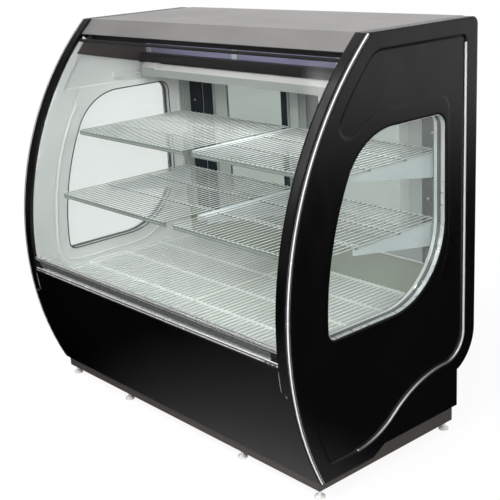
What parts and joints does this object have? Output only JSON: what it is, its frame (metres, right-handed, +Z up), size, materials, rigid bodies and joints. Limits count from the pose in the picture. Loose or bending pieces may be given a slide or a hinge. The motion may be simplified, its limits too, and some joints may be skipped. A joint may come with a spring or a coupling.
{
  "type": "glass display showcase",
  "caption": "Refrigerated counter display case with a tilting curved front glass, black moulded end panels with windows, a lit canopy, wire shelves and sliding rear doors.",
  "frame": {"origin": "on the floor, under the middle of the case", "axes": "+X to the right seen by a customer at the front, -Y towards the customer, +Z up"},
  "size_m": [1.3, 0.7599, 1.23],
  "materials": {
    "black_panel": "gloss",
    "bright_trim": "polished",
    "liner": "satin",
    "clear_glass": "clear",
    "tinted_glass": "clear",
    "pan_grey": "satin",
    "ring_metal": "satin",
    "gasket": "matte",
    "stainless": "brushed",
    "dark_brown": "satin",
    "lilac_panel": "satin",
    "dark_cover": "satin",
    "grey_metal": "satin",
    "lamp_white": "gloss",
    "lamp_tube": "diffuse",
    "black_fascia": "gloss",
    "sill_aluminium": "satin",
    "black_block": "matte",
    "pin_steel": "satin",
    "black_edge": "satin",
    "tub_white": "satin",
    "white_paint": "satin",
    "olive_panel": "satin",
    "frame_white": "satin",
    "jamb_dark": "satin",
    "bracket_blue": "satin",
    "door_white": "anodised",
    "base_grey": "satin",
    "foot_metal": "satin",
    "grille_dark": "satin",
    "control_dark": "matte",
    "knob_black": "satin",
    "switch_green": "gloss",
    "compressor_black": "satin",
    "coil_metal": "satin",
    "shroud_grey": "satin",
    "fan_plastic": "matte"
  },
  "bodies": {
    "case": {"base_tray": "base_grey", "levelling_feet": "foot_metal", "left_end_panel": "black_panel", "right_end_panel": "black_panel", "left_front_piping": "bright_trim", "right_front_piping": "bright_trim", "left_side_strip": "bright_trim", "right_side_strip": "bright_trim", "left_side_liner": "liner", "right_side_liner": "liner", "left_window_glass": "clear_glass", "right_window_glass": "clear_glass", "left_window_ring": "ring_metal", "right_window_ring": "ring_metal", "left_window_gasket": "gasket", "right_window_gasket": "gasket", "canopy": "stainless", "canopy_gussets": "dark_brown", "light_panel": "lilac_panel", "ballast_cover": "dark_cover", "lamp_hangers": "grey_metal", "lamp_housing": "lamp_white", "lamp_tube": "lamp_tube", "lamp_brackets": "grey_metal", "front_fascia": "black_fascia", "sill_rail": "sill_aluminium", "pivot_blocks": "black_block", "pivot_pins": "pin_steel", "deck_tub": "tub_white", "deck_pan": "pan_grey", "left_deck_grid": "white_paint", "right_deck_grid": "white_paint", "rear_duct_panel": "olive_panel", "rear_frame": "frame_white", "jamb_covers": "jamb_dark", "center_mullion": "jamb_dark", "shelf_standards": "white_paint", "upper_left_shelf": "white_paint", "upper_right_shelf": "white_paint", "lower_left_shelf": "white_paint", "lower_right_shelf": "white_paint", "shelf_brackets": "bracket_blue", "service_grille": "grille_dark", "control_panel": "control_dark", "compressor": "compressor_black", "condenser_coil": "coil_metal", "fan_shroud": "shroud_grey", "evaporator_coil": "coil_metal"},
    "front_glass_unit": {"front_glass": "clear_glass", "glass_rail": "sill_aluminium", "glass_top_edge": "black_edge"},
    "left_door": {"left_door_frame": "door_white", "left_door_glass": "tinted_glass"},
    "right_door": {"right_door_frame": "door_white", "right_door_glass": "tinted_glass"},
    "condenser_fan": {"condenser_fan": "fan_plastic"},
    "left_evaporator_fan": {"left_evaporator_fan": "fan_plastic"},
    "right_evaporator_fan": {"right_evaporator_fan": "fan_plastic"},
    "thermostat_knob": {"thermostat_knob": "knob_black"},
    "light_switch": {"light_switch": "switch_green"}
  },
  "joints": [
    {"name": "front_glass_tilt", "type": "hinge", "parent": "case", "child": "front_glass_unit", "pos_m": [0, -0.36346, 0.445], "axis": [1, 0, 0], "range_deg": [0, 55]},
    {"name": "left_door_slide", "type": "slide", "parent": "case", "child": "left_door", "axis": [1, 0, 0], "range_m": [0, 0.42]},
    {"name": "right_door_slide", "type": "slide", "parent": "case", "child": "right_door", "axis": [-1, 0, 0], "range_m": [0, 0.42]},
    {"name": "condenser_fan_spin", "type": "hinge", "parent": "case", "child": "condenser_fan", "pos_m": [-0.27, 0.19694, 0.134], "axis": [0, 1, 0], "continuous": true},
    {"name": "left_evaporator_fan_spin", "type": "hinge", "parent": "case", "child": "left_evaporator_fan", "pos_m": [-0.21, 0.15, 0.353], "axis": [0, 1, 0], "continuous": true},
    {"name": "right_evaporator_fan_spin", "type": "hinge", "parent": "case", "child": "right_evaporator_fan", "pos_m": [0.21, 0.15, 0.353], "axis": [0, 1, 0], "continuous": true},
    {"name": "thermostat_turn", "type": "hinge", "parent": "case", "child": "thermostat_knob", "pos_m": [0.45, 0.31394, 0.1775], "axis": [0, 1, 0], "range_deg": [-150, 150]},
    {"name": "light_switch_rock", "type": "hinge", "parent": "case", "child": "light_switch", "pos_m": [0.516, 0.30994, 0.1775], "axis": [1, 0, 0], "range_deg": [-8, 8]}
  ]
}
